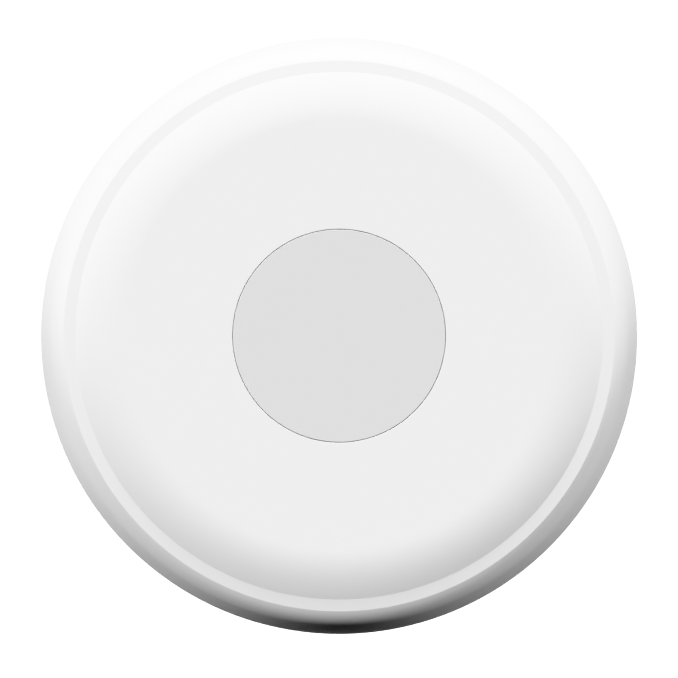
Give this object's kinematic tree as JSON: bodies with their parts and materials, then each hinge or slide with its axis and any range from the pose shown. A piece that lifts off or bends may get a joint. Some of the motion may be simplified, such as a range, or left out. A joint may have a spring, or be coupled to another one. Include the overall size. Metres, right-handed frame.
{
  "type": "smart button",
  "caption": "Low round wireless push button with a domed face, a round centre key, a coin-cell door in the back and a ring of adhesive foam.",
  "frame": {"origin": "middle of the underside of the adhesive pad", "axes": "+Z out of the face that is pressed, +Y towards the top of the face as pictured, with the pairing pinhole on the -Y side of the back"},
  "size_m": [0.05, 0.05, 0.014],
  "materials": {
    "cover_white": "satin moulded",
    "key_grey": "fine matt",
    "pad_foam": "closed-cell foam",
    "seal_silicone": "matt",
    "boot_silicone": "translucent matt",
    "screw_steel": "zinc plated",
    "cell_steel": "satin nickel plated",
    "cell_insulator": "moulded",
    "cell_electrodes": "pressed powder",
    "contact_metal": "nickel plated spring",
    "board_laminate": "solder mask",
    "chip_epoxy": "moulded epoxy",
    "shield_steel": "tin plated",
    "antenna_ceramic": "fired ceramic",
    "led_lens": "clear lens",
    "capacitor_ceramic": "fired ceramic",
    "resistor_film": "coated",
    "switch_moulding": "moulded",
    "plunger_moulding": "moulded",
    "switch_steel": "stamped",
    "lead_tin": "tin plated"
  },
  "bodies": {
    "housing": {"adhesive_pad": "pad_foam", "antenna": "antenna_ceramic", "capacitors": "capacitor_ceramic", "case_screws": "screw_steel", "case_seal": "seal_silicone", "cell_can": "cell_steel", "cell_cap": "cell_steel", "cell_core": "cell_electrodes", "cell_gasket": "cell_insulator", "circuit_board": "board_laminate", "crystal": "shield_steel", "front_cover": "cover_white", "indicator_led": "led_lens", "negative_contact": "contact_metal", "positive_contact": "contact_metal", "power_chip": "chip_epoxy", "radio_chip": "chip_epoxy", "rear_cover": "cover_white", "reset_cover": "switch_steel", "reset_dome": "switch_steel", "reset_housing": "switch_moulding", "reset_terminals": "lead_tin", "resistors": "resistor_film", "return_boot": "boot_silicone", "shield_can": "shield_steel", "switch_cover": "switch_steel", "switch_dome": "switch_steel", "switch_housing": "switch_moulding", "switch_terminals": "lead_tin"},
    "key": {"key_cap": "key_grey"},
    "plunger": {"switch_plunger": "plunger_moulding"},
    "seal": {"door_seal": "seal_silicone"},
    "door": {"battery_door": "cover_white"},
    "pairing_plunger": {"reset_plunger": "switch_moulding"}
  },
  "joints": [
    {"name": "key_press", "type": "slide", "parent": "housing", "child": "key", "axis": [0, 0, -1], "range_m": [0, 0.0004], "stiffness_N_per_m": 3000, "springref_m": -0.0003, "deforming": ["return_boot"]},
    {"name": "switch_press", "type": "slide", "parent": "housing", "child": "plunger", "axis": [0, 0, -1], "range_m": [0, 0.0004], "deforming": ["switch_dome"]},
    {"name": "door_lift", "type": "slide", "parent": "housing", "child": "seal", "axis": [0, 0, -1], "range_m": [0, 0.002]},
    {"name": "door_turn", "type": "hinge", "parent": "seal", "child": "door", "pos_m": [0, 0, 0], "axis": [0, 0, -1], "range_deg": [0, 60]},
    {"name": "reset_press", "type": "slide", "parent": "housing", "child": "pairing_plunger", "axis": [0, 0, 1], "range_m": [0, 0.0002], "stiffness_N_per_m": 4000, "springref_m": -0.0002, "deforming": ["reset_dome"]}
  ],
  "couplings": [
    {"joint": "switch_press", "follows": "key_press", "ratio": 1},
    {"joint": "door_lift", "follows": "door_turn", "m_per_rad": 0.0019099}
  ]
}
